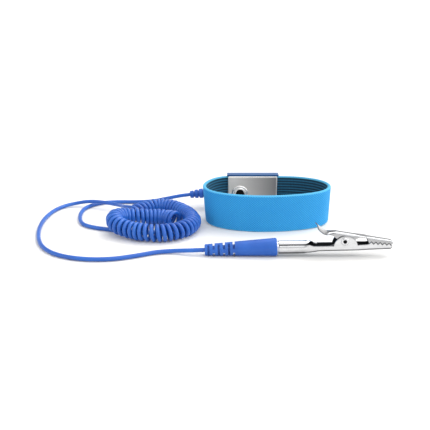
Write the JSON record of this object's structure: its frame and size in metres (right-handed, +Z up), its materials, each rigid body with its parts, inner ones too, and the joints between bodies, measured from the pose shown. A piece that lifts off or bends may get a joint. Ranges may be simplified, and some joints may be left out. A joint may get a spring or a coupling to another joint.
{
  "type": "esd wrist strap",
  "caption": "Elastic wristband with a hinged-lid clasp and steel contact plate, a snap connector, a curly ground cord and a banana plug in an alligator clip.",
  "frame": {"origin": "bottom centre of the wristband's box, on the surface the strap lies on", "axes": "+Z up, +Y from the front of the wrist loop to the clasp, +X from the snap stud to the lid's hinge, the way the clip points"},
  "size_m": [0.1799, 0.0947, 0.022],
  "materials": {
    "elastic_band": "ribbed elastic weave, light blue outside, dark teal inside",
    "backplate": "brushed",
    "buckle_frame": "fine moulded texture",
    "lid_hinge_pin": "turned",
    "stud_rivet": "polished nickel",
    "snap_stud": "polished nickel",
    "buckle_lid": "fine moulded texture",
    "connector_housing": "soft PVC, satin",
    "connector_strain_relief": "soft PVC, satin",
    "snap_socket": "polished nickel",
    "socket_spring": "drawn wire",
    "resistor_body": "lacquered",
    "resistor_leads": "tinned",
    "lead_to_wrist": "polyurethane jacket, semi-gloss",
    "cord_coil": "polyurethane jacket, semi-gloss",
    "lead_to_clip": "polyurethane jacket, semi-gloss",
    "clip_boot": "soft PVC, satin",
    "plug_pin": "nickel-plated brass",
    "plug_leaves": "nickel-plated spring bronze",
    "lower_jaw": "nickel-plated pressed steel",
    "pivot_rivet": "nickel-plated",
    "jaw_spring": "spring wire",
    "upper_jaw": "nickel-plated pressed steel"
  },
  "bodies": {
    "wristband": {"elastic_band": "elastic_band", "backplate": "backplate", "buckle_frame": "buckle_frame", "lid_hinge_pin": "lid_hinge_pin", "stud_rivet": "stud_rivet", "snap_stud": "snap_stud"},
    "clasp_lid": {"buckle_lid": "buckle_lid"},
    "cord_set": {"lead_to_wrist": "lead_to_wrist", "cord_coil": "cord_coil", "lead_to_clip": "lead_to_clip", "clip_boot": "clip_boot", "plug_pin": "plug_pin", "plug_leaves": "plug_leaves"},
    "connector": {"connector_housing": "connector_housing", "connector_strain_relief": "connector_strain_relief", "snap_socket": "snap_socket", "socket_spring": "socket_spring", "resistor_body": "resistor_body", "resistor_leads": "resistor_leads"},
    "clip": {"lower_jaw": "lower_jaw", "pivot_rivet": "pivot_rivet", "jaw_spring": "jaw_spring"},
    "upper_jaw": {"upper_jaw": "upper_jaw"}
  },
  "joints": [
    {"name": "snap_pull", "type": "slide", "parent": "wristband", "child": "cord_set", "axis": [0, 1, 0], "range_m": [0, 0.012]},
    {"name": "connector_swivel", "type": "hinge", "parent": "cord_set", "child": "connector", "pos_m": [-0.01386, 0.01851, 0.011], "axis": [0, 1, 0], "range_deg": [0, 45], "deforming": ["lead_to_wrist"]},
    {"name": "lid_hinge", "type": "hinge", "parent": "wristband", "child": "clasp_lid", "pos_m": [0.00574, 0.01711, 0.011], "axis": [0, 0, -1], "range_deg": [0, 100]},
    {"name": "plug_slide", "type": "slide", "parent": "cord_set", "child": "clip", "axis": [0.9999, 0, 0.014], "range_m": [0, 0.014]},
    {"name": "jaw_hinge", "type": "hinge", "parent": "clip", "child": "upper_jaw", "pos_m": [0.03319, -0.05494, 0.00808], "axis": [0, -1, 0], "range_deg": [0, 28], "stiffness_Nm_per_rad": 0.08, "springref_deg": -20.05, "deforming": ["jaw_spring"]}
  ]
}
